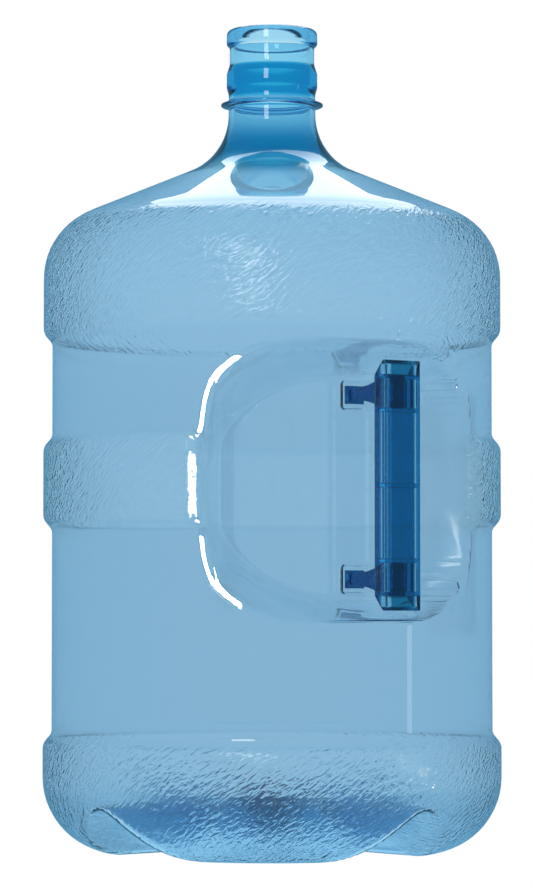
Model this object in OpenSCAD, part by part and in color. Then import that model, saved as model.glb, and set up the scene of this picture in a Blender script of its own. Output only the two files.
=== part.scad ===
// Five-gallon returnable water bottle with a carry handle blown into its wall.
// Lengths are in millimetres. +Z is up, the origin is the centre of the base on
// the surface it stands on, and -Y is the front. Angles round the bottle are
// measured from the front towards +X.

/* [Body] */
// Diameter over the three belts
body_d = 273; // [227:0.5:330]
// How far each waist is set in from the belts, on the radius
waist_inset = 5.3; // [2:0.1:9]
// Height of the slope between a belt and a waist
step_h = 6; // [4:0.5:10]
// Height of the base belt, from the floor to the middle of its step
base_belt_h = 67.5; // [56:0.5:85]
// Height of the lower waist
lower_waist_h = 127; // [100:1:160]
// Height of the middle belt
mid_belt_h = 49; // [38:1:62]
// Height of the upper waist
upper_waist_h = 62; // [50:1:78]
// Height of the shoulder belt, up to where its side would meet the cone
shoulder_belt_h = 64; // [50:1:80]
// Radius that rounds a belt into its step
belt_fillet = 8; // [3:0.5:9]
// Radius that rounds a waist into its step
waist_fillet = 6; // [2:0.5:8]
// Radius of the shoulder
shoulder_r = 42; // [30:1:52]
// Slope of the cone below horizontal, in degrees
cone_slope = 22.6; // [15:0.2:30]
// Thickness of the body's wall
wall_t = 1; // [0.8:0.1:2]

/* [Neck] */
// Outer diameter of the neck between its rings
neck_d = 52; // [44:0.5:60]
// Diameter of the bore
bore_d = 46.2; // [38:0.2:50]
// Height from the rim down to where the neck's side would meet the cone
neck_h = 76; // [64:1:92]
// Radius of the flare from the neck into the cone
flare_r = 38; // [26:0.5:42]
// Outer diameter of the rim bead and of the cap's band
band_d = 54.4; // [53.5:0.2:64]
// Height of the rim bead
bead_h = 9; // [7:0.5:11]
// Chamfer round the mouth of the bore
mouth_c = 1; // [0.4:0.1:1.6]
// Plain neck between the bead and the band
cap_land_h = 17; // [14:0.5:20]
// Height of the cap's band
band_h = 9.4; // [7:0.2:12]
// Plain neck between the band and the transfer flange
flange_land_h = 10.6; // [8:0.2:14]
// Diameter of the transfer flange
flange_d = 61.2; // [56:0.2:72]
// Thickness of the transfer flange at its edge
flange_t = 1.5; // [1:0.1:2.5]

/* [Base] */
// Number of feet
feet = 4; // [3:1:6]
// Turn of the front foot away from the front, in degrees
feet_turn = -3.5; // [-20:0.5:20]
// Radius from the side of the base into a foot
foot_fillet = 45; // [38:0.5:50]
// Height of the valleys between the feet
valley_h = 30; // [20:1:36]
// Width of each valley at the floor
valley_w = 88; // [70:1:100]
// Height of the push-up at the centre
pushup_h = 35; // [25:1:42]
// Radius of the push-up at the floor
pushup_r = 60; // [45:1:72]
// Thickness of the base
base_t = 1.8; // [1.2:0.1:3]

/* [Grip recess] */
// Direction that the recess faces, in degrees
recess_turn = 21; // [0:1:40]
// Depth of the recess's flat floor inside the waist
recess_depth = 55; // [44:1:64]
// Width of the recess where it leaves the wall
recess_w = 180; // [154:1:196]
// Height of the recess where it leaves the wall
recess_h = 153; // [132:1:170]
// Radius of the recess's corners
recess_r = 33; // [24:1:45]
// How far the recess's lips are centred above its floor
lip_rise = 2; // [0:0.5:6]
// Width of the recess's flat floor
floor_w = 124; // [100:1:150]
// Height of the recess's flat floor
floor_h = 136; // [116:1:148]
// Radius of the floor's corners
floor_r = 44; // [30:1:56]
// Depth over which the recess's side walls slope in to its floor
slope_depth = 25; // [16:1:32]

/* [Handle] */
// Direction that the handle stands out, in degrees
handle_turn = 38; // [25:1:50]
// How far the grip's middle is below the middle belt's
grip_drop = 4; // [0:0.5:8]
// Height of the grip
grip_h = 143; // [120:1:150]
// Width of the grip
grip_w = 26; // [22:0.5:32]
// Depth of the grip's channel
grip_t = 10; // [8:0.5:16]
// How far the grip's face stands inside the waist
grip_inset = 10; // [4:0.5:16]
// Thickness of the grip's skin and sides
skin_t = 2.2; // [1.5:0.1:3]
// Width of the core behind the grip's skin
core_w = 17; // [13:0.5:18]
// Depth of the core behind the grip's skin
core_t = 5; // [3:0.5:6]
// Thickness of the ribs
rib_t = 2; // [1.2:0.1:3]
// Distance of the inner cross ribs from the middle of the grip
inner_rib_z = 43; // [36:0.5:46]
// Distance of the outer cross ribs from the middle of the grip
outer_rib_z = 62; // [55:0.5:64]
// Radius of the grip's long outer edges
grip_edge_r = 2.5; // [1:0.1:4]
// Distance of each lug's centre line from the middle of the grip
lug_z = 53.5; // [48:0.5:56]
// Height of a lug where it leaves the grip
lug_root_h = 19; // [14:0.5:22]
// Height of a lug's stem where it meets the recess's floor
lug_stem_h = 6.5; // [5:0.5:9]
// Width of a lug
lug_w = 12; // [9:0.5:16]
// Height of the head at a lug's end
head_h = 10.5; // [9.5:0.5:13]
// Length of the head
head_l = 3.6; // [2:0.2:6]
// How far a lug's end stands inside the recess's floor
lug_bite = 4; // [2:0.5:8]

/* [Sockets] */
// Thickness of the wall blown round a lug
socket_t = 1.6; // [1:0.1:2.5]
// Height of the collar round a lug above the recess's floor
collar_h = 6; // [4:0.5:10]
// Play between a lug and its socket
lug_play = 0.02; // [0:0.01:0.2]

/* [Hidden] */
$fn = 96;
PET_BLUE = [0.50, 0.70, 0.84, 0.55];
HANDLE_BLUE = [0.06, 0.32, 0.50, 0.9];

body_r = body_d / 2;
waist_r = body_r - waist_inset;
neck_r = neck_d / 2;
bore_r = bore_d / 2;
band_r = band_d / 2;
neck_t = neck_r - bore_r;
land_r = neck_r - 0.6;

// Heights of the middles of the four steps, and of the side's corner at the cone
z_base = base_belt_h;
z_lower = z_base + lower_waist_h;
z_mid = z_lower + mid_belt_h;
z_upper = z_mid + upper_waist_h;
z_corner = z_upper + shoulder_belt_h;
z_cone = z_corner + (body_r - neck_r) * tan(cone_slope);
bottle_h = z_cone + neck_h;

// Heights down the neck
z_bead = bottle_h - bead_h;
z_band_top = z_bead - cap_land_h;
z_band = z_band_top - band_h;
z_flange = z_band - flange_land_h;

// The grip's middle is a little below the middle belt's
grip_z = (z_lower + z_mid) / 2 - grip_drop;

// How far a valley's wave starts below the floor
valley_dip = 0.6;

// Radii and distances along the handle's and the recess's own directions
floor_s = waist_r - recess_depth;
grip_out = waist_r - grip_inset;
grip_in = grip_out - grip_t;
handle_skew = handle_turn - recess_turn;
lug_floor = floor_s / cos(handle_skew);
head_out = lug_floor + lug_w / 2 * tan(abs(handle_skew));
lug_end = lug_floor - lug_bite;

function unit(v) = v / norm(v);

// Normal to the right of the way from a to b
function right(a, b) = let(d = unit(b - a)) [d[1], -d[0]];

// Points of the arc of radius f that rounds corner b between a and c
function corner(a, b, c, f, n = 12) =
    let(u = unit(a - b), v = unit(c - b), half = acos(u * v) / 2)
    (f <= 0 || half > 89.9) ? [b] :
    let(
        m = b + unit(u + v) * f / sin(half),
        p = b + u * f / tan(half),
        q = b + v * f / tan(half),
        a0 = atan2(p[1] - m[1], p[0] - m[0]),
        turn = (2 * (90 - half)) * (cross(p - m, q - m) > 0 ? 1 : -1)
    )
    [for (i = [0:n]) m + f * [cos(a0 + turn * i / n), sin(a0 + turn * i / n)]];

// A path of [r, z, fillet] corners with its fillets drawn in
function rounded(path, n = 12) = [
    for (i = [0:len(path) - 1])
        let(b = [path[i][0], path[i][1]])
        for (p = (i == 0 || i == len(path) - 1) ? [b] :
            corner([path[i - 1][0], path[i - 1][1]], b,
                [path[i + 1][0], path[i + 1][1]], path[i][2], n)) p
];

// The same path set in by the wall that each corner names in its fourth value
function inset(path) = [
    for (i = [0:len(path) - 1])
        let(
            b = [path[i][0], path[i][1]],
            a = i > 0 ? [path[i - 1][0], path[i - 1][1]] : b + [0, 1],
            c = i < len(path) - 1 ? [path[i + 1][0], path[i + 1][1]] : b - [1, 0],
            n1 = right(a, b),
            n2 = right(b, c),
            miter = (n1 + n2) / (1 + n1 * n2),
            bulge = cross(b - a, c - b) < 0,
            w = path[i][3],
            p = b + miter * w,
            f = path[i][2] <= 0 ? 0 : bulge ? max(path[i][2] - w, 0.5) : path[i][2] + w
        )
        [p[0], p[1], f]
];

// Side of the body from the neck down to the floor: radius, height, fillet, wall
body_path = [
    [neck_r, z_flange - 4, 0, neck_t],
    [neck_r, z_cone, flare_r, wall_t],
    [body_r, z_corner, shoulder_r, wall_t],
    [body_r, z_upper + step_h / 2, belt_fillet, wall_t],
    [waist_r, z_upper - step_h / 2, waist_fillet, wall_t],
    [waist_r, z_mid + step_h / 2, waist_fillet, wall_t],
    [body_r, z_mid - step_h / 2, belt_fillet, wall_t],
    [body_r, z_lower + step_h / 2, belt_fillet, wall_t],
    [waist_r, z_lower - step_h / 2, waist_fillet, wall_t],
    [waist_r, z_base + step_h / 2, waist_fillet, wall_t],
    [body_r, z_base - step_h / 2, belt_fillet, wall_t],
    [body_r, 0, foot_fillet, base_t],
    [0, 0, 0, base_t]
];

// Side of the neck from the rim down to the flange
neck_path = [
    [0, bottle_h, 0],
    [band_r, bottle_h, 3],
    [band_r, z_bead, 2.6],
    [land_r, z_bead - 1.4, 1],
    [land_r, z_band_top + 4, 4],
    [band_r, z_band_top - 0.5, 1.5],
    [band_r, z_band + 0.5, 1.5],
    [neck_r, z_band - 3, 3],
    [neck_r, z_flange + flange_t + 1, 1.2],
    [flange_d / 2, z_flange + flange_t, 0.5],
    [flange_d / 2, z_flange, 0.5],
    [neck_r, z_flange - 1, 0.8],
    [neck_r, z_flange - 3, 0]
];

// A rounded outline centred on the recess's floor, a quarter-turn per corner
function recess_outline(w, h, r) = [
    for (k = [0:3], i = [0:10])
        let(a = 90 * k + 9 * i)
        [((k == 0 || k == 3) ? 1 : -1) * (w / 2 - r) + r * cos(a),
            (k < 2 ? 1 : -1) * (h / 2 - r) + r * sin(a)]
];

// A thin slice of the recess: an outline standing at distance s, raised by rise
module recess_slice(s, w, h, r, t, rise = 0) {
    translate([s, 0, grip_z + rise]) rotate([90, 0, 90])
        linear_extrude(height = t) polygon(recess_outline(w, h, r));
}

// The space of the recess, grown by g on every side
module recess(g = 0) {
    far = body_r + 12;
    rotate([0, 0, recess_turn - 90]) hull() {
        recess_slice(floor_s - g, floor_w + 2 * g, floor_h + 2 * g, floor_r + g, 0.5);
        recess_slice(floor_s + slope_depth - g, recess_w + 2 * g, recess_h - 4 + 2 * g,
            recess_r + g, 0.5, lip_rise);
        recess_slice(far, recess_w + 4 + 2 * g, recess_h + 4 + 2 * g, recess_r + g, 0.5,
            lip_rise);
    }
}

// The space of one valley, grown by g: a wave across, straight along the radius.
// The wave starts a little below the floor, so that it cuts the feet cleanly
module valley(g = 0) {
    w = valley_w / 2 + g;
    n = 24;
    wave = [for (i = [0:n])
        let(t = -1 + 2 * i / n)
        [t * w, (valley_h + valley_dip) * (1 + cos(180 * t)) / 2 - valley_dip + g]];
    rotate([90, 0, 90]) linear_extrude(height = body_r + 10)
        polygon(concat([[-w, -8]], wave, [[w, -8]]));
}

module valleys(g = 0) {
    for (k = [0:feet - 1])
        rotate([0, 0, feet_turn - 90 + (k + 0.5) * 360 / feet]) valley(g);
}

// The space of the push-up at the centre of the base, grown by g
module pushup(g = 0) {
    rotate_extrude() polygon(rounded([
        [0, -8],
        [pushup_r + 4 + g, -8, 0],
        [pushup_r * 0.4 + g, pushup_h * 0.9 + g, 12],
        [0, pushup_h + g]
    ]));
}

// Everything inside the outer surface
module body_solid() {
    difference() {
        union() {
            rotate_extrude() polygon(concat(rounded(neck_path, 6), rounded(body_path)));
        }
        recess();
        valleys();
        pushup();
    }
}

// The space inside the wall
module cavity() {
    difference() {
        union() {
            rotate_extrude()
                polygon(concat([[0, z_flange - 4]], rounded(inset(body_path))));
            translate([0, 0, z_flange - 6]) cylinder(h = bottle_h - z_flange + 12, r = bore_r);
            translate([0, 0, bottle_h - mouth_c])
                cylinder(h = mouth_c + 1, r1 = bore_r, r2 = bore_r + mouth_c + 1);
        }
        recess(wall_t);
        valleys(base_t);
        pushup(base_t);
    }
}

// Places what it holds at the handle's upper and lower lug, in the handle's frame
module at_lugs() {
    rotate([0, 0, handle_turn - 90]) translate([0, 0, grip_z])
        for (m = [0, 1]) mirror([0, 0, m]) translate([0, 0, lug_z]) children();
}

// Side of one lug: a funnel from the grip to a stem with a head on its end
module lug(g = 0) {
    root = lug_root_h / 2;
    stem = lug_stem_h / 2 + g;
    head = head_h / 2 + g;
    neck_s = lug_end + head_l + g;
    rotate([90, 0, 0]) linear_extrude(height = lug_w + 2 * g, center = true)
        polygon(rounded([
            [lug_end - g, 0],
            [lug_end - g, head, 1],
            [neck_s, head, 0.6],
            [neck_s + 1.2, stem, 1],
            [lug_floor + collar_h + 4, stem + 0.6, 8],
            [grip_in - 4, root, 5],
            [grip_in + 2, root + 3, 0],
            [grip_in + 2, -root - 3, 0],
            [grip_in - 4, -root, 5],
            [lug_floor + collar_h + 4, -stem - 0.6, 8],
            [neck_s + 1.2, -stem, 1],
            [neck_s, -head, 0.6],
            [lug_end - g, -head, 1],
            [lug_end - g, 0]
        ], 5));
}

// Wall blown round one lug: a cup behind the floor and a collar in front of it
module socket() {
    cup_w = lug_w + 2 * socket_t;
    cup_h = head_h + 2 * socket_t;
    collar = lug_stem_h + 2 * socket_t + 2;
    s0 = lug_end - socket_t;
    s1 = lug_floor + collar_h;
    rotate([90, 0, 0]) linear_extrude(height = cup_w, center = true) polygon(rounded([
        [s0, 0],
        [s0, cup_h / 2, 2],
        [head_out + 1, cup_h / 2, 2],
        [s1, collar / 2, 1.2],
        [s1, -collar / 2, 1.2],
        [head_out + 1, -cup_h / 2, 2],
        [s0, -cup_h / 2, 2],
        [s0, 0]
    ], 5));
}

module bottle() {
    color(PET_BLUE) difference() {
        union() {
            difference() {
                body_solid();
                cavity();
            }
            at_lugs() socket();
        }
        at_lugs() lug(lug_play);
    }
}

// The grip's channel: skin and two sides, open towards the bottle
module channel() {
    w = grip_w / 2;
    translate([0, 0, -grip_h / 2]) linear_extrude(height = grip_h) polygon(rounded([
        [grip_out, 0],
        [grip_out, w, grip_edge_r],
        [grip_in, w, 0.8],
        [grip_in, w - skin_t, 0.8],
        [grip_out - skin_t, w - skin_t, 1],
        [grip_out - skin_t, -w + skin_t, 1],
        [grip_in, -w + skin_t, 0.8],
        [grip_in, -w, 0.8],
        [grip_out, -w, grip_edge_r],
        [grip_out, 0]
    ], 6));
}

// One rib across the channel, at height z from the grip's middle
module cross_rib(z) {
    translate([grip_in + 0.6, -grip_w / 2 + 0.6, z - rib_t / 2])
        cube([grip_t - 1.2, grip_w - 1.2, rib_t]);
}

// The end of the grip round a lug's root: a solid block and its end wall
module end_block() {
    top = grip_h / 2;
    rotate([90, 0, 0]) linear_extrude(height = lug_w, center = true) polygon([
        [grip_in, inner_rib_z],
        [grip_out - 1, inner_rib_z],
        [grip_out - 1, outer_rib_z],
        [grip_in, outer_rib_z]
    ]);
    translate([grip_in + 0.6, -grip_w / 2 + 0.6, top - skin_t])
        cube([grip_t - 1.2, grip_w - 1.2, skin_t]);
}

// The core that stiffens the skin between the outer ribs
module core() {
    translate([grip_out - skin_t - core_t, -core_w / 2, -outer_rib_z])
        cube([core_t + 0.4, core_w, 2 * outer_rib_z]);
}

// Cuts the inner corner off both ends of the grip
module end_chamfers() {
    top = grip_h / 2;
    cut = grip_t * 0.75;
    for (m = [0, 1]) mirror([0, 0, m])
        rotate([90, 0, 0]) linear_extrude(height = grip_w + 4, center = true) polygon([
            [grip_in - 1, top - cut],
            [grip_in - 1, top + 1],
            [grip_in + cut, top + 1]
        ]);
}

module handle() {
    color(HANDLE_BLUE) {
        rotate([0, 0, handle_turn - 90]) translate([0, 0, grip_z]) difference() {
            union() {
                channel();
                core();
                for (z = [0, inner_rib_z, -inner_rib_z, outer_rib_z, -outer_rib_z])
                    cross_rib(z);
                for (m = [0, 1]) mirror([0, 0, m]) end_block();
                translate([grip_in + 1.5, -rib_t / 2, -grip_h / 2 + 1])
                    cube([grip_t - 2, rib_t, grip_h - 2]);
            }
            end_chamfers();
        }
        at_lugs() lug();
    }
}

bottle();
handle();
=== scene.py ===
"""Builds the finished look of a five-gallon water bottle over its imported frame.

The bottle's wall is one closed shell with a true inside and outside, and the handle
is a ribbed channel whose lugs the wall is blown round. Lengths are in metres.
"""

import math

import bmesh
import bpy
import numpy as np
from bpy.props import (
    FloatProperty,
    FloatVectorProperty,
    IntProperty,
    PointerProperty,
)
from mathutils import Matrix, Vector


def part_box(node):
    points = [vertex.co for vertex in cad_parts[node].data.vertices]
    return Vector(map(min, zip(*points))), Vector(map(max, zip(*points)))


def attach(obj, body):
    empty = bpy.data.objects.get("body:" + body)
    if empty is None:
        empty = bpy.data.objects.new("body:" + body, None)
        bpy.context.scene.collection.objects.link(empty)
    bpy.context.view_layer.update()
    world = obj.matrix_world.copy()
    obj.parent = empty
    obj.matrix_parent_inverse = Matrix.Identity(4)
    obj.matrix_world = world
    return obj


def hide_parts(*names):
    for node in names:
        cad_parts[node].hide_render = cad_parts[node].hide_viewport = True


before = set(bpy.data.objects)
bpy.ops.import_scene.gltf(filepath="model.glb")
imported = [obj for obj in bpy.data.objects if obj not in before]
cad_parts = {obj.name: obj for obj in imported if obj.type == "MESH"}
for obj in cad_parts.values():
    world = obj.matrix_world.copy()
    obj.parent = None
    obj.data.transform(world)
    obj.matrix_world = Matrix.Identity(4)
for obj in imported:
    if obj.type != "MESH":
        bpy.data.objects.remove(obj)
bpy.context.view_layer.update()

bl_info = {
    "name": "Water Bottle Finish",
    "version": (1, 0, 0),
    "blender": (4, 5, 0),
    "location": "View3D > Sidebar > Bottle",
    "description": "Builds the clear shell, the handle and the stage of a water bottle",
    "category": "Add Mesh",
}

BOTTLE_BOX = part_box("bottle")

# Slopes between one tint of the wall and the next, as (start, end) heights or radii.
NECK_FROM = (0.396, 0.412)
ROOT_FROM, ROOT_TO = (0.408, 0.417), (0.419, 0.447)
BAND_FROM, BAND_TO = (0.4500, 0.4515), (0.4675, 0.4695)
PALER_FROM = (0.26, 0.36)
VALLEY_FROM, VALLEY_TO, VALLEY_OUT = (0.010, 0.026), (0.042, 0.052), (0.100, 0.115)
STAR_TO, STAR_OUT = (0.05, 0.06), (0.022, 0.052)

# Where the recess's right wall is duller, across, towards the front and in height.
DULL_X, DULL_X_END, DULL_Y_END = (0.083, 0.091), (0.116, 0.121), (-0.03, -0.01)
DULL_Z, DULL_Z_END = (0.120, 0.135), (0.265, 0.275)

# Slopes at which the hammered texture starts and stops.
HAMMER_TOP = (0.3745, 0.3757)
HAMMER_FOOT, HAMMER_UNDER = (0.0415, 0.0425), (0.0405, 0.0415)

STROKE_RADIUS = 0.134  # radius at which the hammered strokes keep their true size
NOISE_RELIEF = 5.0  # depth of the noise's whole range over the depth of one stroke


# ---------------------------------------------------------------- settings


def length(name, default, about, low=0.0, high=1.0):
    """One length in metres, as a user sees it in the panel."""
    return FloatProperty(
        name=name, description=about, default=default, min=low, max=high,
        unit="LENGTH", precision=4,
    )


def turn(name, default, about):
    """One angle, shown in degrees."""
    return FloatProperty(
        name=name, description=about, default=math.radians(default), subtype="ANGLE",
    )


def colour(name, default, about):
    """One linear colour."""
    return FloatVectorProperty(
        name=name, description=about, default=default, size=3, min=0.0, max=1.0,
        subtype="COLOR",
    )


def number(name, default, about, low=0.0, high=100.0):
    """One plain number."""
    return FloatProperty(name=name, description=about, default=default, min=low, max=high)


class BottleSizes(bpy.types.PropertyGroup):
    """Sizes of the blown shell."""

    height: length("Height", BOTTLE_BOX[1][2], "Height from the floor to the rim")
    body_radius: length("Body radius", 0.1365, "Radius over the three belts")
    waist_radius: length("Waist radius", 0.1312, "Radius of the two waists")
    step: length("Step", 0.006, "Height of the slope between a belt and a waist")
    base_belt: length("Base belt", 0.0675, "Height of the middle of the base belt's step")
    lower_waist: length("Lower waist", 0.127, "Height of the lower waist")
    mid_belt: length("Middle belt", 0.049, "Height of the middle belt")
    upper_waist: length("Upper waist", 0.062, "Height of the upper waist")
    shoulder_belt: length("Shoulder belt", 0.064, "Height of the shoulder belt to its corner")
    shoulder_round: length("Shoulder radius", 0.042, "Radius of the shoulder")
    cone: turn("Cone slope", 22.6, "Slope of the cone below horizontal")
    wall: length("Wall", 0.001, "Thickness of the body's wall")
    base_wall: length("Base wall", 0.0018, "Thickness of the base")
    neck_radius: length("Neck radius", 0.026, "Radius of the neck under the band")
    bore_radius: length("Bore radius", 0.0231, "Radius of the bore")
    band_radius: length("Band radius", 0.0272, "Radius of the rim bead and the cap's band")
    flange_radius: length("Flange radius", 0.0306, "Radius of the transfer flange")
    flare: length("Flare", 0.038, "Radius of the flare under the neck")
    foot_round: length("Foot radius", 0.045, "Radius from the side into a foot")
    feet_turn: turn("Feet turn", -3.5, "Turn of the front foot from the front")
    valley_height: length("Valley height", 0.031, "Height of the valleys between the feet")
    valley_half: length("Valley half width", 0.045, "Half the width of a valley at the floor")
    pushup_height: length("Push-up height", 0.036, "Height of the push-up at the centre")
    pushup_radius: length("Push-up radius", 0.058, "Radius of the push-up at the floor")
    spokes: IntProperty(
        name="Spokes", description="Number of ribs round the push-up", default=12, min=0,
    )
    spoke_height: length("Spoke height", 0.0013, "Height of the ribs round the push-up")


class RecessSizes(bpy.types.PropertyGroup):
    """Sizes of the grip recess."""

    facing: turn("Facing", 21.0, "Direction that the recess faces, from the front")
    floor: length("Floor", 0.0762, "Distance of the floor from the bottle's axis")
    floor_half: length("Floor half width", 0.0585, "Half the width of the flat floor")
    steep: number("Side slope", 0.95, "Rise of the side walls over their run", 0.1, 5.0)
    foot_left: length("Foot left", 0.074, "Reach of the end walls' foot left of the middle")
    foot_right: length("Foot right", 0.0480, "Reach of the end walls' foot past the handle")
    foot_height: length("Foot height", 0.067, "Half the height of the floor by the handle")
    lip_half: length("Lip half width", 0.087, "Half the width where it leaves the wall")
    lip_height: length("Lip half height", 0.0790, "Half the height where it leaves the wall")
    lip_rise: length("Lip rise", 0.002, "How far the lips are centred above the floor")
    lip_round: length("Lip corner", 0.050, "Radius of the lip's corners")
    land: length("Land", 0.1005, "Distance of the side lips from the bottle's axis")
    land_half: length("Land half width", 0.0843, "How far to the side that is")
    land_slope: number("Land slope", 0.30, "Rise of the side lips over their run", 0.0, 2.0)
    floor_soft: length("Floor blend", 0.022, "How broadly the side walls run into the floor")
    end_soft: length("End blend", 0.014, "How broadly the end walls run into the rest")
    soft: length("Soft edge", 0.0016, "How broadly the recess blends into the wall")
    soft_far: length("Soft far edge", 0.007, "How broadly it blends away from the left lip")
    glint: length("Glint", 0.0014, "How far inside the left lip it catches the light")


class HandleSizes(bpy.types.PropertyGroup):
    """Sizes of the moulded handle."""

    facing: turn("Facing", 38.0, "Direction that the handle stands out, from the front")
    drop: length("Drop", 0.004, "How far the grip's middle is below the middle belt's")
    grip_height: length("Grip height", 0.143, "Height of the grip")
    grip_width: length("Grip width", 0.026, "Width of the grip")
    grip_face: length("Grip face", 0.1212, "Distance of the grip's face from the bottle's axis")
    grip_depth: length("Grip depth", 0.010, "Depth of the grip")
    skin: length("Skin", 0.0022, "Thickness of the grip's skin and sides")
    core: length("Core width", 0.017, "Width of the core behind the skin")
    core_depth: length("Core depth", 0.0050, "Depth of the core behind the skin")
    rib: length("Rib", 0.002, "Thickness of a rib")
    web: length("Web", 0.0012, "Thickness of the webs behind a lug")
    inner_rib: length("Inner ribs", 0.043, "Distance of the inner ribs from the middle")
    outer_rib: length("Outer ribs", 0.062, "Distance of the outer ribs from the middle")
    chamfer: length("End chamfer", 0.0075, "How much is cut off the ends' inner corners")
    lug_height: length("Lug offset", 0.0535, "Distance of each lug from the middle")
    lug_end: length("Lug end", 0.0757, "Distance of a lug's end from the bottle's axis")
    lug_width: length("Lug width", 0.012, "Width of a lug")
    lug_stem: length("Lug stem", 0.0065, "Height of a lug's stem")
    lug_root: length("Lug root", 0.019, "Height of a lug where it meets the grip")
    head_height: length("Head height", 0.0105, "Height of the head on a lug's end")
    head_length: length("Head length", 0.0036, "Length of the head on a lug's end")
    outer_edge: length("Outer edge", 0.0016, "Radius of the grip's outer edges")
    edge: length("Edge", 0.0004, "Radius of every other edge")
    socket_offset: length("Socket offset", 0.0535, "Distance of each socket from the middle")
    socket: length("Socket depth", 0.0062, "How far a socket stands into the bottle")
    socket_half: length("Socket half width", 0.0074, "Half the width of a socket")


class Finishes(bpy.types.PropertyGroup):
    """Colours and surface of the two plastics."""

    body_tint: colour("Body tint", (0.582, 0.728, 0.83), "Tint of the body's wall")
    belt_tint: colour("Belt tint", (0.66, 0.80, 0.89), "Tint of the hammered belts' wall")
    neck_tint: colour("Neck tint", (0.725, 0.94, 1.0), "Tint of the neck's wall")
    band_tint: colour("Band tint", (0.08, 0.62, 0.81), "Tint of the cap's band")
    root_tint: colour("Neck root tint", (0.012, 0.39, 0.60), "Tint of the neck's thick root")
    base_tint: colour("Base tint", (0.38, 0.60, 0.74), "Tint of the base's raised valleys")
    star_tint: colour("Star tint", (0.03, 0.15, 0.29), "Tint of the push-up's thick middle")
    depth_colour: colour("Depth colour", (0.32, 0.72, 0.88), "Colour the wall takes with depth")
    depth: number("Depth", 260.0, "How fast the wall takes that colour, per metre", 0, 5000)
    handle_tint: colour("Handle tint", (0.64, 0.82, 0.88), "Tint of the handle's surface")
    # Painted shade, partly thick plastic: darkens the handle's inner edges and lugs.
    painted_shade_tint: colour("Edge tint", (0.015, 0.15, 0.33), "Tint of the inner edges and lugs")
    core_tint: colour("Core tint", (0.03, 0.28, 0.42), "Tint of the handle's core")
    handle_colour: colour("Handle colour", (0.05, 0.74, 0.90), "Its colour with depth")
    handle_depth: number("Handle depth", 150.0, "How fast it takes that, per metre", 0, 5000)
    ior: number("Index", 1.57, "Refractive index of the plastic", 1.0, 2.0)
    hammer_size: length("Hammer size", 0.0028, "Length of one hammered stroke")
    hammer_depth: length("Hammer depth", 0.00015, "Depth of the hammered texture")


class StageSettings(bpy.types.PropertyGroup):
    """Camera and light."""

    distance: length("Distance", 2.10, "Distance of the camera", 0.5, 10)
    eye: length("Eye height", 0.150, "Height of the camera", 0, 5)
    aim: length("Aim height", 0.2428, "Height that the camera looks at", 0, 2)
    aside: length("Aside", -0.0033, "How far beside the axis the camera looks", -1, 1)
    view_height: length("View height", 0.5312, "Height that the view spans at the bottle", 0, 5)
    glint: FloatVectorProperty(
        name="Glint", description="Place of the small light that the left lip catches",
        default=(0.564, -0.240, 0.027), size=3, subtype="TRANSLATION",
    )
    glow: number("Glow", 1.0, "Brightness of the surroundings", 0, 10)
    dim: colour("Mirrored", (0.10, 0.32, 0.53), "Colour of the surroundings as a reflection")
    # The under glow paints a pool of light on the floor under the bottle, seen through the
    # base.
    under: number("Under glow", 1.35, "Brightness of the floor under the bottle", 0, 10)


# ---------------------------------------------------------------- shader maths


class Value:
    """A shader socket that takes part in Python arithmetic."""

    def __init__(self, kit, socket):
        self.kit, self.socket = kit, socket

    def _math(self, op, *others, first=None):
        values = ([first] if first is not None else []) + [self] + list(others)
        return self.kit.node("ShaderNodeMath", {"operation": op}, *values)

    def __add__(self, other):
        return self._math("ADD", other)

    __radd__ = __add__

    def __mul__(self, other):
        return self._math("MULTIPLY", other)

    __rmul__ = __mul__

    def __sub__(self, other):
        return self._math("SUBTRACT", other)

    def __rsub__(self, other):
        return self._math("SUBTRACT", first=other)

    def __truediv__(self, other):
        return self._math("DIVIDE", other)

    def rise(self, low, high):
        """Runs from 0 at low to 1 at high, smoothly."""
        return self.kit.node(
            "ShaderNodeMapRange",
            {"interpolation_type": "SMOOTHSTEP"},
            self, low, high, 0.0, 1.0,
        )

    def between(self, start, end):
        """1 between two slopes and 0 outside them, each a (low, high) pair."""
        return self.rise(*start) * (1 - self.rise(*end))

    def arctan2(self, other):
        return self._math("ARCTAN2", other)

    def power(self, other):
        return self._math("POWER", other)

    def vector(self, op, *others):
        """A vector sum, difference or the like."""
        return self.kit.node("ShaderNodeVectorMath", {"operation": op}, self, *others)

    def scaled(self, share):
        """This vector times a number."""
        return self.kit.node("ShaderNodeVectorMath", {"operation": "SCALE"}, self, Scale=share)


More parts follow.
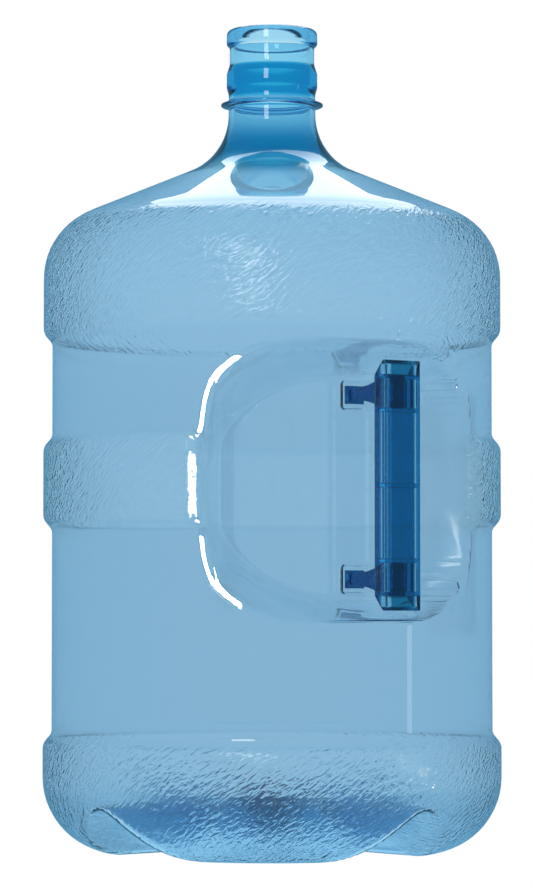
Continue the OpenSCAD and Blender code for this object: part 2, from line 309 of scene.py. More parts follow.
class Nodes:
    """Makes nodes in one tree."""

    def __init__(self, tree):
        self.tree = tree
        tree.nodes.clear()

    @staticmethod
    def find(sockets, key):
        """A socket by its number, or by its identifier or name with _ for a space."""
        if isinstance(key, int):
            return sockets[key]
        for word in ("identifier", "name"):
            for socket in sockets:
                if getattr(socket, word).replace(" ", "_") == key:
                    return socket
        raise KeyError(key)

    def node(self, kind, settings=None, *values, out=0, **named):
        """A node of a kind: its settings, then its inputs in order or by name.

        It gives the output named by out, a list of them for a tuple of names, or
        nothing where the node has none.
        """
        made = self.tree.nodes.new(kind)
        for key, value in (settings or {}).items():
            setattr(made, key, value)
        for key, value in [*enumerate(values), *named.items()]:
            socket = self.find(made.inputs, key)
            if isinstance(value, Value):
                self.tree.links.new(value.socket, socket)
            elif socket.type == "RGBA" and len(value) == 3:
                socket.default_value = (*value, 1.0)
            else:
                socket.default_value = value
        if not len(made.outputs):
            return None
        if isinstance(out, tuple):
            return [Value(self, self.find(made.outputs, key)) for key in out]
        return Value(self, self.find(made.outputs, out))

    def blend(self, share, a, b):
        """A colour between a and b."""
        return self.node(
            "ShaderNodeMix", {"data_type": "RGBA"},
            Factor_Float=share, A_Color=a, B_Color=b, out="Result_Color",
        )

    def split(self, vector):
        """The three parts of a vector."""
        return self.node("ShaderNodeSeparateXYZ", None, vector, out=("X", "Y", "Z"))

    def towards(self, where, there):
        """The direction from here to a fixed place."""
        away = self.node("ShaderNodeVectorMath", {"operation": "SUBTRACT"}, tuple(there), where)
        return away.vector("NORMALIZE")

    def place(self):
        """Where the surface is, in the bottle's own frame."""
        return self.node("ShaderNodeTexCoord", out="Object")

    def stored(self, name):
        """A number stored on the mesh."""
        return self.node("ShaderNodeAttribute", {"attribute_name": name}, out="Fac")

    def noise(self, **named):
        """A noise in three dimensions."""
        return self.node("ShaderNodeTexNoise", {"noise_dimensions": "3D"}, **named)


def material(name):
    made = bpy.data.materials.new(name)
    made.use_nodes = True
    return made, Nodes(made.node_tree)


def hammered_relief(kit, finish, where, hammered):
    """Bumped normals of the hammered strokes, and the strokes themselves."""
    x, y, z = kit.split(where)
    size = finish.hammer_size
    around = x.arctan2(y * -1.0) * STROKE_RADIUS
    along = (around * 0.80 + z * 0.60) / size
    across = (z * 0.80 - around * 0.60) / size
    depth = (x * x + y * y).power(0.5) / size
    strokes = kit.noise(
        Vector=kit.node(
            "ShaderNodeCombineXYZ", None, along * 0.58, across * 1.45, depth * 0.3,
        ),
        Scale=1.0, Detail=1.5, Roughness=0.5, Distortion=0.4,
    )
    grain = kit.noise(Vector=where, Scale=900.0, Detail=1.0, Roughness=0.5)
    bump = kit.node(
        "ShaderNodeBump", None,
        Strength=1.0, Distance=finish.hammer_depth * NOISE_RELIEF,
        Height=(strokes + grain * 0.12) * hammered,
    )
    return bump, strokes


def lip_normal(kit, stage, where, bump, strokes, hammered):
    """The bumped normal, turned along the left lip so that it catches the small light."""
    eye = (stage.aside, -stage.distance, stage.eye)
    half_way = kit.towards(where, eye).vector("ADD", kit.towards(where, stage.glint))
    flat = kit.node("ShaderNodeNewGeometry", out="Normal")
    uneven = bump.vector("SUBTRACT", flat).scaled(0.12)
    turned = half_way.vector("NORMALIZE").vector("ADD", uneven)
    lip = kit.stored("lip")
    broken = (strokes - 0.5) * hammered * 0.9
    caught = (lip + broken + hammered * 0.10).rise(0.38, 0.50) * lip.rise(0.02, 0.12)
    change = turned.vector("SUBTRACT", bump).scaled(caught)
    return bump.vector("ADD", change).vector("NORMALIZE")


def wall_tint(kit, finish, where, hammered):
    """The wall's tint, deeper where a real wall is thicker."""
    x, y, z = kit.split(where)
    out = (x * x + y * y).power(0.5)
    paler = tuple(min(c * 1.06, 1.0) for c in finish.body_tint)
    body = kit.blend(z.rise(*PALER_FROM), tuple(finish.body_tint), paler)
    body = kit.blend(hammered, body, tuple(finish.belt_tint))
    valleys = z.between(VALLEY_FROM, VALLEY_TO) * (1 - out.rise(*VALLEY_OUT))
    body = kit.blend(valleys, body, tuple(finish.base_tint))
    star = (1 - out.rise(*STAR_OUT)) * (1 - z.rise(*STAR_TO))
    body = kit.blend(star, body, tuple(finish.star_tint))
    band = z.between(BAND_FROM, BAND_TO)
    neck = kit.blend(band, tuple(finish.neck_tint), tuple(finish.band_tint))
    neck = kit.blend(z.between(ROOT_FROM, ROOT_TO), neck, tuple(finish.root_tint))
    return kit.blend(z.rise(*NECK_FROM), body, neck)


def clear_pet(finish, stage):
    """The blown wall: clear, tinted, with hammered belts and a lip that catches a light."""
    made, kit = material("clear_pet")
    where = kit.place()
    x, y, z = kit.split(where)
    hammered = kit.stored("hammered")
    bump, strokes = hammered_relief(kit, finish, where, hammered)
    dulled = x.between(DULL_X, DULL_X_END) * (1 - y.rise(*DULL_Y_END))
    dulled = dulled * z.between(DULL_Z, DULL_Z_END)
    shell = kit.node(
        "ShaderNodeBsdfPrincipled", None,
        Base_Color=wall_tint(kit, finish, where, hammered),
        Roughness=hammered * 0.03 + dulled * 0.16 + 0.012,
        IOR=finish.ior, Transmission_Weight=1.0,
        Normal=lip_normal(kit, stage, where, bump, strokes, hammered),
    )
    absorbing(kit, shell, finish.depth_colour, finish.depth)
    return made


def handle_pet(finish, sizes):
    """The moulded handle: the same plastic, much thicker and deeper in colour, with painted
    shade on its inner edge and lugs.
    """
    made, kit = material("handle_pet")
    where = kit.place()
    grain = kit.noise(Vector=where, Scale=140.0, Detail=2.0, Roughness=0.5)
    x, y, _ = kit.split(where)
    out = x * math.sin(sizes.facing) - y * math.cos(sizes.facing)
    side = x * math.cos(sizes.facing) + y * math.sin(sizes.facing)
    inner, half = sizes.grip_face - sizes.grip_depth, sizes.core / 2
    # The grip's inner half and the lugs, deep in the recess, are darkened partly for their
    # thick plastic and partly as painted shade.
    edge = 1 - out.rise(inner + 0.0044, inner + 0.0052)
    core = 1 - (side * side).power(0.5).rise(half - 0.0005, half + 0.0005)
    core = core * out.rise(inner + 0.001, inner + 0.002)
    tint = kit.blend(core, tuple(finish.handle_tint), tuple(finish.core_tint))
    tint = kit.blend(edge, tint, tuple(finish.painted_shade_tint))
    shell = kit.node(
        "ShaderNodeBsdfPrincipled", None,
        Base_Color=tint, Roughness=grain * 0.04 + 0.02,
        IOR=finish.ior, Transmission_Weight=1.0,
    )
    absorbing(kit, shell, finish.handle_colour, finish.handle_depth)
    return made


def absorbing(kit, shell, tone, density):
    """Ends a material in a surface over plastic that takes on a colour with depth."""
    depth = kit.node(
        "ShaderNodeVolumeAbsorption", None, Color=tuple(tone), Density=density,
    )
    kit.node("ShaderNodeOutputMaterial", None, Surface=shell, Volume=depth)


# ---------------------------------------------------------------- outlines


def rounded(path, steps=14):
    """A path of (r, z, fillet) corners with the fillets drawn in."""
    points = []
    for i, (r, z, fillet) in enumerate(path):
        here = np.array((r, z))
        if i in (0, len(path) - 1) or fillet <= 0:
            points.append(here)
            continue
        back = np.array(path[i - 1][:2]) - here
        ahead = np.array(path[i + 1][:2]) - here
        back /= np.linalg.norm(back)
        ahead /= np.linalg.norm(ahead)
        half = math.acos(float(np.clip(back @ ahead, -1, 1))) / 2
        if half > math.radians(89.9):
            points.append(here)
            continue
        middle = here + (back + ahead) / np.linalg.norm(back + ahead) * fillet / math.sin(half)
        first = here + back * fillet / math.tan(half) - middle
        last = here + ahead * fillet / math.tan(half) - middle
        start = math.atan2(first[1], first[0])
        sweep = math.pi - 2 * half
        if first[0] * last[1] - first[1] * last[0] < 0:
            sweep = -sweep
        for k in range(steps + 1):
            a = start + sweep * k / steps
            points.append(middle + fillet * np.array((math.cos(a), math.sin(a))))
    return np.array(points)


def spread(points, widest, finest, zones=()):
    """Spreads rows along an outline, closer where it bends and in the zones.

    A zone is (low z, high z, spacing).
    """
    step = np.linalg.norm(np.diff(points, axis=0), axis=1)
    keep = np.append(True, step > 1e-7)
    points = points[keep]
    at = np.append(0, np.cumsum(np.linalg.norm(np.diff(points, axis=0), axis=1)))
    fine = np.linspace(0, at[-1], int(at[-1] / 0.0002))
    r, z = np.interp(fine, at, points[:, 0]), np.interp(fine, at, points[:, 1])
    heading = np.unwrap(np.arctan2(np.gradient(z), np.gradient(r)))
    window = np.ones(7) / 7
    bend = np.abs(np.convolve(np.gradient(heading, fine), window, mode="same"))
    gap = np.clip(0.16 / np.maximum(bend, 1e-6), finest, widest)
    for low, high, spacing in zones:
        gap = np.where((z > low) & (z < high), np.minimum(gap, spacing), gap)
    count = np.append(0, np.cumsum((1 / gap[1:] + 1 / gap[:-1]) / 2 * np.diff(fine)))
    rows = np.interp(np.linspace(0, count[-1], int(round(count[-1])) + 1), count, fine)
    return np.stack([np.interp(rows, fine, r), np.interp(rows, fine, z)], axis=1)


def soft_min(a, b, k):
    """The smaller of two, rounded over k where they meet."""
    h = np.clip(0.5 + 0.5 * (b - a) / k, 0, 1)
    return b * (1 - h) + a * h - k * h * (1 - h)


def soft_max(a, b, k):
    """The larger of two, rounded over k where they meet."""
    return -soft_min(-a, -b, k)


def ease(x, low, high):
    """0 below low, 1 above high, smooth between."""
    t = np.clip((x - low) / (high - low), 0, 1)
    return t * t * (3 - 2 * t)


def plateau(x, start, end):
    """1 between two slopes and 0 outside them, each a (low, high) pair."""
    return ease(x, *start) * (1 - ease(x, *end))


# ---------------------------------------------------------------- bottle


class BottleShape:
    """The shell's outside, as a distance from the axis round each of its rows."""

    def __init__(self, sizes, recess, handle):
        self.s, self.recess, self.handle = sizes, recess, handle
        s = sizes
        self.z_base = s.base_belt
        self.z_lower = self.z_base + s.lower_waist
        self.z_mid = self.z_lower + s.mid_belt
        self.z_upper = self.z_mid + s.upper_waist
        self.z_corner = self.z_upper + s.shoulder_belt
        self.z_cone = self.z_corner + (s.body_radius - s.neck_radius) * math.tan(s.cone)
        self.grip_z = (self.z_lower + self.z_mid) / 2 - handle.drop
        self.z_flange = s.height - 0.046
        self.z_split = self.z_flange - 0.004

    def outline(self):
        """Corners of the outside from the rim to the centre of the base."""
        s = self.s
        h, half = s.height, s.step / 2
        band, neck, body, waist = s.band_radius, s.neck_radius, s.body_radius, s.waist_radius
        land = neck - 0.0006
        z_bead, z_band = h - 0.009, self.z_flange + 0.0106
        z_top = z_band + 0.0094
        flange = self.z_flange
        return [
            (s.bore_radius + 0.0012, h, 0),
            (band - 0.0001, h, 0.0030),
            (band + 0.0001, z_bead, 0.0026),
            (land, z_bead - 0.0014, 0.0012),
            (land, z_top + 0.0050, 0.0060),
            (band, z_top - 0.0005, 0.0022),
            (band, z_band + 0.0005, 0.0022),
            (neck, z_band - 0.0034, 0.0040),
            (neck, flange + 0.0026, 0.0014),
            (s.flange_radius, flange + 0.0014, 0.0006),
            (s.flange_radius, flange, 0.0006),
            (neck, flange - 0.0010, 0.0010),
            (neck, self.z_cone, s.flare),
            (body, self.z_corner, s.shoulder_round),
            (body, self.z_upper + half, 0.008),
            (waist, self.z_upper - half, 0.006),
            (waist, self.z_mid + half, 0.006),
            (body, self.z_mid - half, 0.008),
            (body, self.z_lower + half, 0.008),
            (waist, self.z_lower - half, 0.006),
            (waist, self.z_base + half, 0.006),
            (body, self.z_base - half, 0.008),
            (body, 0.0, s.foot_round),
            (0.0, 0.0, 0),
        ]

    def rows(self):
        """Radius and height of each row of the outside, before the recess and feet."""
        g = self.grip_z
        zones = [
            (g + 0.055, g + 0.086, 0.0010),
            (g - 0.086, g - 0.055, 0.0010),
            (g + 0.030, g + 0.056, 0.0016),
            (g - 0.056, g - 0.030, 0.0016),
            (g - 0.031, g + 0.031, 0.0035),
        ]
        line = spread(rounded(self.outline()), 0.0070, 0.0006, zones)
        flat = line[:, 1] < 1e-5
        wide = line[~flat]
        floor = np.linspace(wide[-1][0], 0.0016, 44)[1:]
        return np.vstack([wide, np.stack([floor, np.zeros(len(floor))], axis=1)])

    def columns(self):
        """Angles from the front, closer together at the recess's sides and the handle."""
        fine = np.linspace(-math.pi, math.pi, 7201)
        face, grip = self.recess.facing, self.handle.facing
        gap = np.full(len(fine), 1.75)
        for middle, half, spacing in (
            (face - 0.62, 0.19, 0.26),
            (face + 0.66, 0.17, 0.70),
            (face, 0.75, 1.30),
            (grip, 0.12, 0.55),
        ):
            near = np.exp(-(((fine - middle) / half) ** 4))
            gap = np.minimum(gap, 1.75 + (spacing - 1.75) * near)
        gap = np.radians(gap)
        count = np.append(0, np.cumsum((1 / gap[1:] + 1 / gap[:-1]) / 2 * np.diff(fine)))
        n = int(round(count[-1]))
        return np.interp(np.arange(n) * count[-1] / n, count, fine)

    def recess_face(self, t, dz):
        """Distance of the recess's face, at t to its right and dz above its middle."""
        r = self.recess
        grip_t = r.floor * math.tan(self.handle.facing - r.facing)
        left = np.sqrt(np.clip(1 - ((t - grip_t) / (r.foot_left + grip_t)) ** 2, 0, 1))
        right = np.clip(1 - (np.abs(t - grip_t) / r.foot_right) ** 3, 0, 1) ** (1 / 3)
        foot = r.foot_height * np.where(t < grip_t, left, right)
        run = np.clip(np.abs(t) - (r.lip_half - r.lip_round), 0, r.lip_round * 0.995)
        lip = r.lip_height - r.lip_round + np.sqrt(r.lip_round**2 - run**2)
        edge = np.sqrt(np.maximum(self.s.waist_radius**2 - np.clip(t, -0.1, 0.1) ** 2, 0))
        reach = np.maximum(lip + r.lip_rise * np.sign(dz) - foot, 0.007)
        share = (np.abs(dz) - foot) / reach
        ends = r.floor + share * np.maximum(edge - r.floor, 0.012)
        side = r.floor + r.steep * (np.abs(t) - r.floor_half)
        shelf = r.land + r.land_slope * (np.abs(t) - r.land_half)
        sides = soft_min(side, shelf, 0.002)
        return soft_max(soft_max(sides, r.floor, r.floor_soft), ends, r.end_soft)

    def recess_reach(self, angle, z):
        """Distance from the axis to the recess's face along each angle and height."""
        away = angle - self.recess.facing
        away = (away + math.pi) % (2 * math.pi) - math.pi
        dz = z - self.grip_z
        low, high = np.full(away.shape, 0.040), np.full(away.shape, 0.156)
        cos, sin = np.cos(away), np.sin(away)
        beyond = high * cos - self.recess_face(high * sin, dz) < 0
        for _ in range(26):
            middle = (low + high) / 2
            inside = middle * cos - self.recess_face(middle * sin, dz) > 0
            high = np.where(inside, middle, high)
            low = np.where(inside, low, middle)
        return np.where(beyond | (cos < 0.2), 0.156, high)

    def lug_mask(self, angle, radius, z, half_w, half_h, edge):
        """1 over each lug's end, 0 away from it."""
        t = radius * np.sin(angle - self.handle.facing)
        front = np.cos(angle - self.handle.facing) > 0.5
        mask = np.zeros(angle.shape)
        for side in (-1, 1):
            dz = z - self.grip_z - side * self.handle.socket_offset
            across = 1 - ease(np.abs(t), half_w - edge, half_w + edge)
            along = 1 - ease(np.abs(dz), half_h - edge, half_h + edge)
            mask = np.maximum(mask, across * along)
        return np.where(front, mask, 0)

    def base_height(self, angle, radius):
        """Height of the valleys and the push-up over the floor."""
        s = self.s
        quarter = math.pi / 2
        phase = (angle - s.feet_turn) % quarter
        away = np.abs(phase - quarter / 2)

        def wave(q):
            return np.where(
                np.abs(q) < s.valley_half, 0.5 + 0.5 * np.cos(math.pi * q / s.valley_half), 0
            )

        both = 1 - (1 - wave(radius * np.sin(away))) * (1 - wave(radius * np.cos(away)))
        dome = np.where(
            radius < s.pushup_radius,
            0.5 + 0.5 * np.cos(math.pi * radius / s.pushup_radius), 0,
        )
        spokes = np.cos(s.spokes * (angle - s.feet_turn)) * ease(radius, 0.010, 0.022)
        spokes = s.spoke_height * spokes * (1 - ease(radius, 0.034, 0.050))
        return soft_max(s.valley_height * both, s.pushup_height * dome, 0.004) - 0.001 + spokes

    def left_lip(self, angle, z, depth):
        """1 along the middle of the recess's left lip, falling to 0 at its sides."""
        away = angle - self.recess.facing
        dz = z - self.grip_z
        arc = np.gradient(angle, axis=1) * self.s.waist_radius
        rise = np.minimum(np.gradient(z, axis=0), -1e-6)
        slope = np.hypot(np.gradient(depth, axis=1) / arc, np.gradient(depth, axis=0) / rise)
        inwards = depth / np.maximum(slope, 0.15)
        band = np.clip(1 - np.abs(inwards / self.recess.glint - 1), 0, 1) * (depth > 0.0002)
        band = band * (1 - ease(depth, 0.0050, 0.0060))
        band = band * (away < -0.50) * (away > -1.0) * (dz < 0.072) * (dz > -0.074)
        above = ease(np.abs(z - self.z_mid + 0.0065), 0.0030, 0.0045)
        below = ease(np.abs(z - self.z_lower + 0.0050), 0.0026, 0.0040)
        return band * above * below

    def outside(self):
        """Points of the outside as rows by columns by x, y, z, and its plain rows."""
        rows, angles = self.rows(), self.columns()
        a, r = np.meshgrid(angles, rows[:, 0])
        z = np.repeat(rows[:, 1][:, None], len(angles), axis=1)
        side = (z > 0.060) & (z < 0.345)
        reach = self.recess_reach(a, z)
        left = 1 - ease((a - self.recess.facing) / 0.30, -2.0, -1.0)
        soft = self.recess.soft + (self.recess.soft_far - self.recess.soft) * (1 - left)
        cut = soft_min(r, reach, soft)
        r = np.where(side, cut, r)
        socket = self.lug_mask(a, r, z, self.handle.socket_half, 0.0072, 0.0010)
        r = r - self.handle.socket * socket * (r < 0.110)
        k = 0.004
        low = z < 0.0449
        raised = self.base_height(a, r)
        lift = raised - k * (1 - np.clip(raised / self.s.valley_height, 0, 1)) - z
        ramp = np.where(lift < -k, 0, np.where(lift > k, lift, (lift + k) ** 2 / (4 * k)))
        z = np.where(low, z + ramp, z)
        return np.stack([r * np.sin(a), -r * np.cos(a), z], axis=2), a, rows


def grid_normals(p):
    """Outward normals of a closed ring grid whose rows run down and columns round."""
    across = np.roll(p, -1, axis=1) - np.roll(p, 1, axis=1)
    down = np.gradient(p, axis=0)
    n = np.cross(down, across)
    return n / np.maximum(np.linalg.norm(n, axis=2, keepdims=True), 1e-12)


def ring_faces(rows, cols, start=0):
    """Quads between each row of a ring grid and the next."""
    i, j = np.meshgrid(np.arange(rows - 1), np.arange(cols), indexing="ij")
    k = (j + 1) % cols
    quads = np.stack([i * cols + j, (i + 1) * cols + j, (i + 1) * cols + k, i * cols + k], 2)
    return quads.reshape(-1, 4) + start


def mesh_object(name, points, quads, tris, mat):
    """A smooth mesh object from arrays."""
    mesh = bpy.data.meshes.new(name)
    corners = np.concatenate([quads.ravel(), tris.ravel()]).astype(np.int32)
    sizes = np.concatenate([np.full(len(quads), 4), np.full(len(tris), 3)])
    mesh.vertices.add(len(points))
    mesh.vertices.foreach_set("co", points.astype(np.float32).ravel())
    mesh.loops.add(len(corners))
    mesh.loops.foreach_set("vertex_index", corners)
    mesh.polygons.add(len(sizes))
    starts = np.append(0, np.cumsum(sizes)[:-1]).astype(np.int32)
    mesh.polygons.foreach_set("loop_start", starts)
    mesh.polygons.foreach_set("use_smooth", np.ones(len(sizes), bool))
    mesh.update(calc_edges=True)
    mesh.validate()
    mesh.materials.append(mat)
    made = bpy.data.objects.new(name, mesh)
    bpy.context.scene.collection.objects.link(made)
    return made


def build_bottle(sizes, recess, handle, finish, stage):
    """The closed shell: outside, rim and inside in one mesh."""
    shape = BottleShape(sizes, recess, handle)
    outside, angle, rows = shape.outside()
    normal = grid_normals(outside)
    cols = outside.shape[1]
    body = rows[:, 1] < shape.z_split
    height = outside[body][:, :, 2]
    neck_wall = sizes.neck_radius - sizes.bore_radius
    wall = sizes.wall + (neck_wall - sizes.wall) * ease(height, 0.402, shape.z_split)
    wall = wall + (sizes.base_wall - sizes.wall) * (1 - ease(height, 0.020, 0.050))
    inside = outside[body] - normal[body] * wall[:, :, None]
    around = np.stack([np.sin(angle[0]), -np.cos(angle[0])], axis=1)
    neck = []
    for r, z in (
        [(sizes.bore_radius + 0.0008, sizes.height - 0.0002),
         (sizes.bore_radius + 0.0003, sizes.height - 0.0006),
         (sizes.bore_radius, sizes.height - 0.0014)]
        + [(sizes.bore_radius, sizes.height - 0.0014 - 0.0050 * k) for k in range(1, 10)]
        + [(sizes.bore_radius, shape.z_split + 0.0006)]
    ):
        if z > shape.z_split:
            neck.append(np.column_stack([around * r, np.full(cols, z)]))
    inner = np.concatenate([np.array(neck), inside])
    grid = np.concatenate([inner[::-1], outside])
    points = grid.reshape(-1, 3)
    quads = ring_faces(len(grid), cols)
    top, bottom = grid[0].mean(axis=0), grid[-1].mean(axis=0)
    points = np.vstack([points, top, bottom])
    j = np.arange(cols)
    k = (j + 1) % cols
    last = (len(grid) - 1) * cols
    tris = np.vstack([
        np.stack([np.full(cols, len(points) - 2), j, k], 1),
        np.stack([np.full(cols, len(points) - 1), last + k, last + j], 1),
    ])
    made = mesh_object("bottle_shell", points, quads, tris, clear_pet(finish, stage))

    z, r = outside[:, :, 2], np.hypot(outside[:, :, 0], outside[:, :, 1])
    plain = np.repeat(rows[:, 0][:, None], cols, axis=1)

    def step(height, below, above):
        return (height - below, height + above)

    belts = np.maximum.reduce([
        plateau(z, step(shape.z_upper, 0.003, 0.001), HAMMER_TOP),
        plateau(z, step(shape.z_lower, 0.001, 0.003), step(shape.z_mid, 0.003, 0.001)),
        plateau(z, HAMMER_FOOT, step(shape.z_base, 0.003, 0.001)),
        (1 - ease(z, *HAMMER_UNDER)) * ease(r, 0.080, 0.095) * 0.6,
    ])
    belts = belts * (1 - ease(plain - r, 0.004, 0.010))
    lip = shape.left_lip(angle, z, plain - r)
    for name, values in (("hammered", belts), ("lip", lip)):
        weight = np.zeros(len(points), np.float32)
        weight[inner.shape[0] * cols: len(grid) * cols] = values.ravel()
        made.data.attributes.new(name, "FLOAT", "POINT").data.foreach_set("value", weight)
    return made


class BOTTLE_OT_shell(bpy.types.Operator):
    """Build the clear blown shell in place of its plain solid"""

    bl_idname = "bottle.shell"
    bl_label = "Blown Shell"

    def execute(self, context):
        scene = context.scene
        made = build_bottle(
            scene.bottle_sizes, scene.recess_sizes, scene.handle_sizes, scene.finishes,
            scene.stage_settings,
        )
        if len(made.data.polygons) < 1000:
            raise RuntimeError("the shell came out empty")
        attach(made, "root")
        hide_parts("bottle")
        return {"FINISHED"}


# ---------------------------------------------------------------- handle


class GripPlan:
    """Which cells of a grid are plastic, and how the grid is bent to shape."""

    def __init__(self, sizes):
        self.h = h = sizes
        self.inner = h.grip_face - h.grip_depth
        self.back = h.grip_face - h.skin
        self.top = h.grip_height / 2
        half, lug = h.grip_width / 2, h.lug_width / 2
        run = np.linspace(h.lug_end + h.head_length, self.inner, 10)
        self.depths = [h.lug_end, *run, self.back - h.core_depth, self.back, h.grip_face]
        right = [lug - h.web, lug, h.core / 2, half - h.skin, half]
        self.widths = [-v for v in reversed(right)] + right
        up = [h.rib / 2]
        for rib in (h.inner_rib, h.outer_rib):
            up += [rib - h.rib / 2, rib + h.rib / 2]
        for size in (h.lug_stem, h.head_height):
            up += [h.lug_height - size / 2, h.lug_height + size / 2]
        up = sorted(up + [self.top - h.skin, self.top])
        self.heights = [-v for v in reversed(up)] + up

    def filled(self, s, t, z):
        """Whether the cell round a point is plastic."""
        h, z, t = self.h, abs(z), abs(t)
        off_lug = abs(z - h.lug_height)
        if s < self.inner:
            tall = h.head_height if s < h.lug_end + h.head_length else h.lug_stem
            return t < h.lug_width / 2 and off_lug < tall / 2
        if s > self.back or t > h.grip_width / 2 - h.skin or z > self.top - h.skin:
            return True
        if any(abs(z - rib) < h.rib / 2 for rib in (0, h.inner_rib, h.outer_rib)):
            return True
        if h.inner_rib < z < h.outer_rib and h.lug_width / 2 - h.web < t < h.lug_width / 2:
            return True
        return s > self.back - h.core_depth and t < h.core / 2 and z < h.outer_rib

    def bent(self, s, t, z):
        """Widens the lugs towards the grip and cuts the inner corners off its ends."""
        h = self.h
        side = math.copysign(1, z)
        off = abs(z) - h.lug_height
        if s <= self.inner + 1e-6 and abs(t) < h.lug_width / 2 + 1e-6:
            start = h.lug_end + h.head_length
            share = max(0.0, (s - start) / (self.inner - start)) ** 2.2
            if abs(abs(off) - h.lug_stem / 2) < 1e-6 and s > start + 1e-6:
                grown = h.lug_stem / 2 + (h.lug_root - h.lug_stem) / 2 * share
                z = side * (h.lug_height + math.copysign(grown, off))
        cut = max(0.0, abs(z) - (self.top - h.chamfer))
        if s >= self.inner - 1e-6 and cut > 0:
            s = self.inner + cut + (s - self.inner) * (h.grip_depth - cut) / h.grip_depth
        return s, t, z


def build_handle(sizes, middle, finish):
    """The handle as one closed mesh with rounded edges."""
    plan = GripPlan(sizes)
    axes = (plan.depths, plan.widths, plan.heights)
    count = [len(a) - 1 for a in axes]

    def solid(cell):
        if any(not 0 <= c < n for c, n in zip(cell, count)):
            return False
        return plan.filled(*[(a[c] + a[c + 1]) / 2 for a, c in zip(axes, cell)])

    work = bmesh.new()
    corners = {}

    def corner(place):
        if place not in corners:
            corners[place] = work.verts.new([a[c] for a, c in zip(axes, place)])
        return corners[place]

    for cell in np.ndindex(*count):
        if not solid(cell):
            continue
        for axis in range(3):
            u, v = (axis + 1) % 3, (axis + 2) % 3
            for way in (-1, 1):
                beside = list(cell)
                beside[axis] += way
                if solid(beside):
                    continue
                loop = []
                for du, dv in ((0, 0), (1, 0), (1, 1), (0, 1))[::way]:
                    place = list(cell)
                    place[axis] += way > 0
                    place[u] += du
                    place[v] += dv
                    loop.append(corner(tuple(place)))
                work.faces.new(loop)
    for vert in work.verts:
        vert.co = plan.bent(*vert.co)

    def sharp(edge):
        return edge.calc_face_angle(0) > 0.5

    rim = [
        e for e in work.edges
        if sharp(e) and all(abs(v.co.x - sizes.grip_face) < 1e-6 for v in e.verts)
    ]
    bmesh.ops.bevel(
        work, geom=rim, offset=sizes.outer_edge, offset_type="OFFSET", segments=4,
        profile=0.5, affect="EDGES",
    )
    rest = [e for e in work.edges if sharp(e)]
    bmesh.ops.bevel(
        work, geom=rest, offset=sizes.edge, offset_type="OFFSET", segments=2,
        profile=0.5, affect="EDGES", clamp_overlap=True,
    )
    turned = Matrix.Rotation(sizes.facing - math.pi / 2, 4, "Z")
    work.transform(Matrix.Translation((0, 0, middle)) @ turned)
    bmesh.ops.recalc_face_normals(work, faces=work.faces)
    mesh = bpy.data.meshes.new("grip")
    work.to_mesh(mesh)
    work.free()
    mesh.materials.append(handle_pet(finish, sizes))
    made = bpy.data.objects.new("grip", mesh)
    bpy.context.scene.collection.objects.link(made)
    return made


class BOTTLE_OT_handle(bpy.types.Operator):
    """Build the moulded handle in place of its plain solid"""

    bl_idname = "bottle.handle"
    bl_label = "Handle"

    def execute(self, context):
        scene = context.scene
        shape = BottleShape(scene.bottle_sizes, scene.recess_sizes, scene.handle_sizes)
        made = build_handle(scene.handle_sizes, shape.grip_z, scene.finishes)
        if len(made.data.polygons) < 100:
            raise RuntimeError("the handle came out empty")
        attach(made, "root")
        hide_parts("handle")
        return {"FINISHED"}


# ---------------------------------------------------------------- stage


def seen_as_mirror(kit):
    """1 on rays that come off a shiny surface, 0 on those that pass straight through."""
    glossy, through = kit.node(
        "ShaderNodeLightPath", out=("Is_Glossy_Ray", "Is_Transmission_Ray"),
    )
    return glossy * (1 - through)


def surroundings(glow, dim):
    """Plain white all round, dimmer where it is only seen as a reflection."""
    world = bpy.data.worlds.new("studio")
    world.use_nodes = True
    kit = Nodes(world.node_tree)
    mirrored = seen_as_mirror(kit)
    tone = kit.blend(mirrored, (1.0, 1.0, 1.0), tuple(dim))
    light = kit.node("ShaderNodeBackground", None, Color=tone, Strength=glow)
    kit.node("ShaderNodeOutputWorld", None, Surface=light)
    bpy.context.scene.world = world


def soft_light(name, place, size, brightness, aim, outline="RECTANGLE"):
    """A soft box of a brightness, facing what it is aimed at."""
    data = bpy.data.lights.new(name, "AREA")
    data.shape = outline
    data.size, data.size_y = size
    share = 1.0 if outline == "RECTANGLE" else math.pi / 4
    data.energy = brightness * math.pi * size[0] * size[1] * share
    made = bpy.data.objects.new(name, data)
    bpy.context.scene.collection.objects.link(made)
    made.location = place
    made.rotation_euler = (Vector(aim) - Vector(place)).to_track_quat("-Z", "Y").to_euler()
    made.visible_camera = False
    made.visible_transmission = False
    return made


# Name, place, size, brightness against the surroundings, aim and outline of each lamp.
LAMPS = (
    ("strip_low", (1.526, -0.494, 0.068), (0.085, 0.14), 1.5, (0, 0, 0.068), "RECTANGLE"),
    ("over_back", (0.10, 1.05, 1.60), (1.25, 2.0), 2.6, (0.10, 1.05, 0), "ELLIPSE"),
    ("front_left", (-0.52, -1.95, 0.98), (0.42, 0.80), 5.5, (0, 0, 0.35), "RECTANGLE"),
)


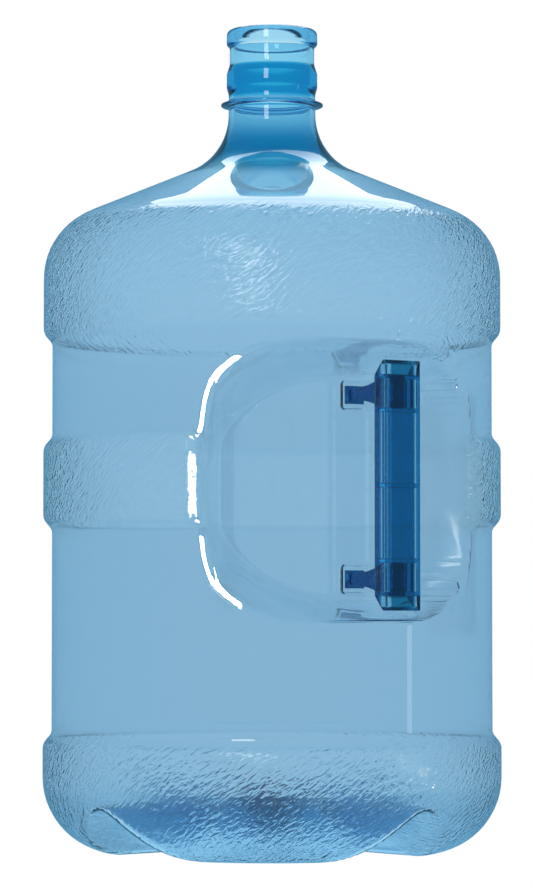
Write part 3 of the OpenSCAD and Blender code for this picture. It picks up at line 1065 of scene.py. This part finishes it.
class BOTTLE_OT_stage(bpy.types.Operator):
    """Set the floor, the surroundings, the lights and the camera"""

    bl_idname = "bottle.stage"
    bl_label = "Stage"

    def execute(self, context):
        scene = context.scene
        stage = scene.stage_settings
        made, kit = material("floor_white")
        x, y, _ = kit.split(kit.place())
        away = (x * x + y * y).power(0.5)
        # Under the bottle, on rays other than the camera's, the floor glows brighter: a painted
        # pool of light seen through the base.
        direct = kit.node("ShaderNodeLightPath", out="Is_Camera_Ray")
        painted_pool = (1 - away.rise(0.095, 0.165)) * (1 - direct)
        tone = kit.blend(seen_as_mirror(kit), (1.0, 1.0, 1.0), tuple(stage.dim))
        white = kit.node(
            "ShaderNodeEmission", None,
            Color=tone.scaled(1 + painted_pool * (stage.under / stage.glow - 1)),
            Strength=stage.glow,
        )
        kit.node("ShaderNodeOutputMaterial", None, Surface=white)
        edge = 30.0
        floor = mesh_object(
            "floor",
            np.array([(-edge, -edge, -0.0005), (edge, -edge, -0.0005),
                      (edge, edge, -0.0005), (-edge, edge, -0.0005)]),
            np.array([[0, 1, 2, 3]]), np.zeros((0, 3), int), made,
        )
        surroundings(stage.glow, stage.dim)
        glint = tuple(stage.glint)
        soft_light("glint", glint, (0.030, 0.012), 70.0, (-0.04, -0.10, 0.21))
        for lamp in LAMPS:
            soft_light(*lamp)
        view = bpy.data.cameras.new("camera")
        eye = bpy.data.objects.new("camera", view)
        scene.collection.objects.link(eye)
        eye.location = (stage.aside, -stage.distance, stage.eye)
        aim = Vector((stage.aside, 0, stage.aim))
        eye.rotation_euler = (aim - eye.location).to_track_quat("-Z", "Y").to_euler()
        view.sensor_width = 36.0
        view.lens = 36.0 * (aim - eye.location).length / stage.view_height
        view.clip_end = 200.0
        scene.camera = eye
        scene.view_settings.view_transform = "Standard"
        scene.cycles.max_bounces = 28
        scene.cycles.transmission_bounces = 28
        scene.cycles.glossy_bounces = 6
        return {"FINISHED"}


class BOTTLE_PT_panel(bpy.types.Panel):
    """Lists the bottle's pieces and their settings"""

    bl_label = "Water Bottle"
    bl_space_type = "VIEW_3D"
    bl_region_type = "UI"
    bl_category = "Bottle"

    def draw(self, context):
        scene = context.scene
        for group, command in (
            (scene.bottle_sizes, "bottle.shell"),
            (scene.recess_sizes, None),
            (scene.handle_sizes, "bottle.handle"),
            (scene.finishes, None),
            (scene.stage_settings, "bottle.stage"),
        ):
            box = self.layout.box()
            for key in group.__annotations__:
                box.prop(group, key)
            if command:
                box.operator(command)


GROUPS = (
    ("bottle_sizes", BottleSizes),
    ("recess_sizes", RecessSizes),
    ("handle_sizes", HandleSizes),
    ("finishes", Finishes),
    ("stage_settings", StageSettings),
)
CLASSES = (BOTTLE_OT_shell, BOTTLE_OT_handle, BOTTLE_OT_stage, BOTTLE_PT_panel)


def register():
    """Adds the settings and the commands to Blender."""
    for name, group in GROUPS:
        bpy.utils.register_class(group)
        setattr(bpy.types.Scene, name, PointerProperty(type=group))
    for item in CLASSES:
        bpy.utils.register_class(item)


def unregister():
    """Takes them away again."""
    for item in reversed(CLASSES):
        bpy.utils.unregister_class(item)
    for name, group in reversed(GROUPS):
        delattr(bpy.types.Scene, name)
        bpy.utils.unregister_class(group)


def main():
    """Builds the bottle, the handle and the stage."""
    register()
    bpy.ops.bottle.shell()
    bpy.ops.bottle.handle()
    bpy.ops.bottle.stage()


if __name__ == "__main__":
    main()
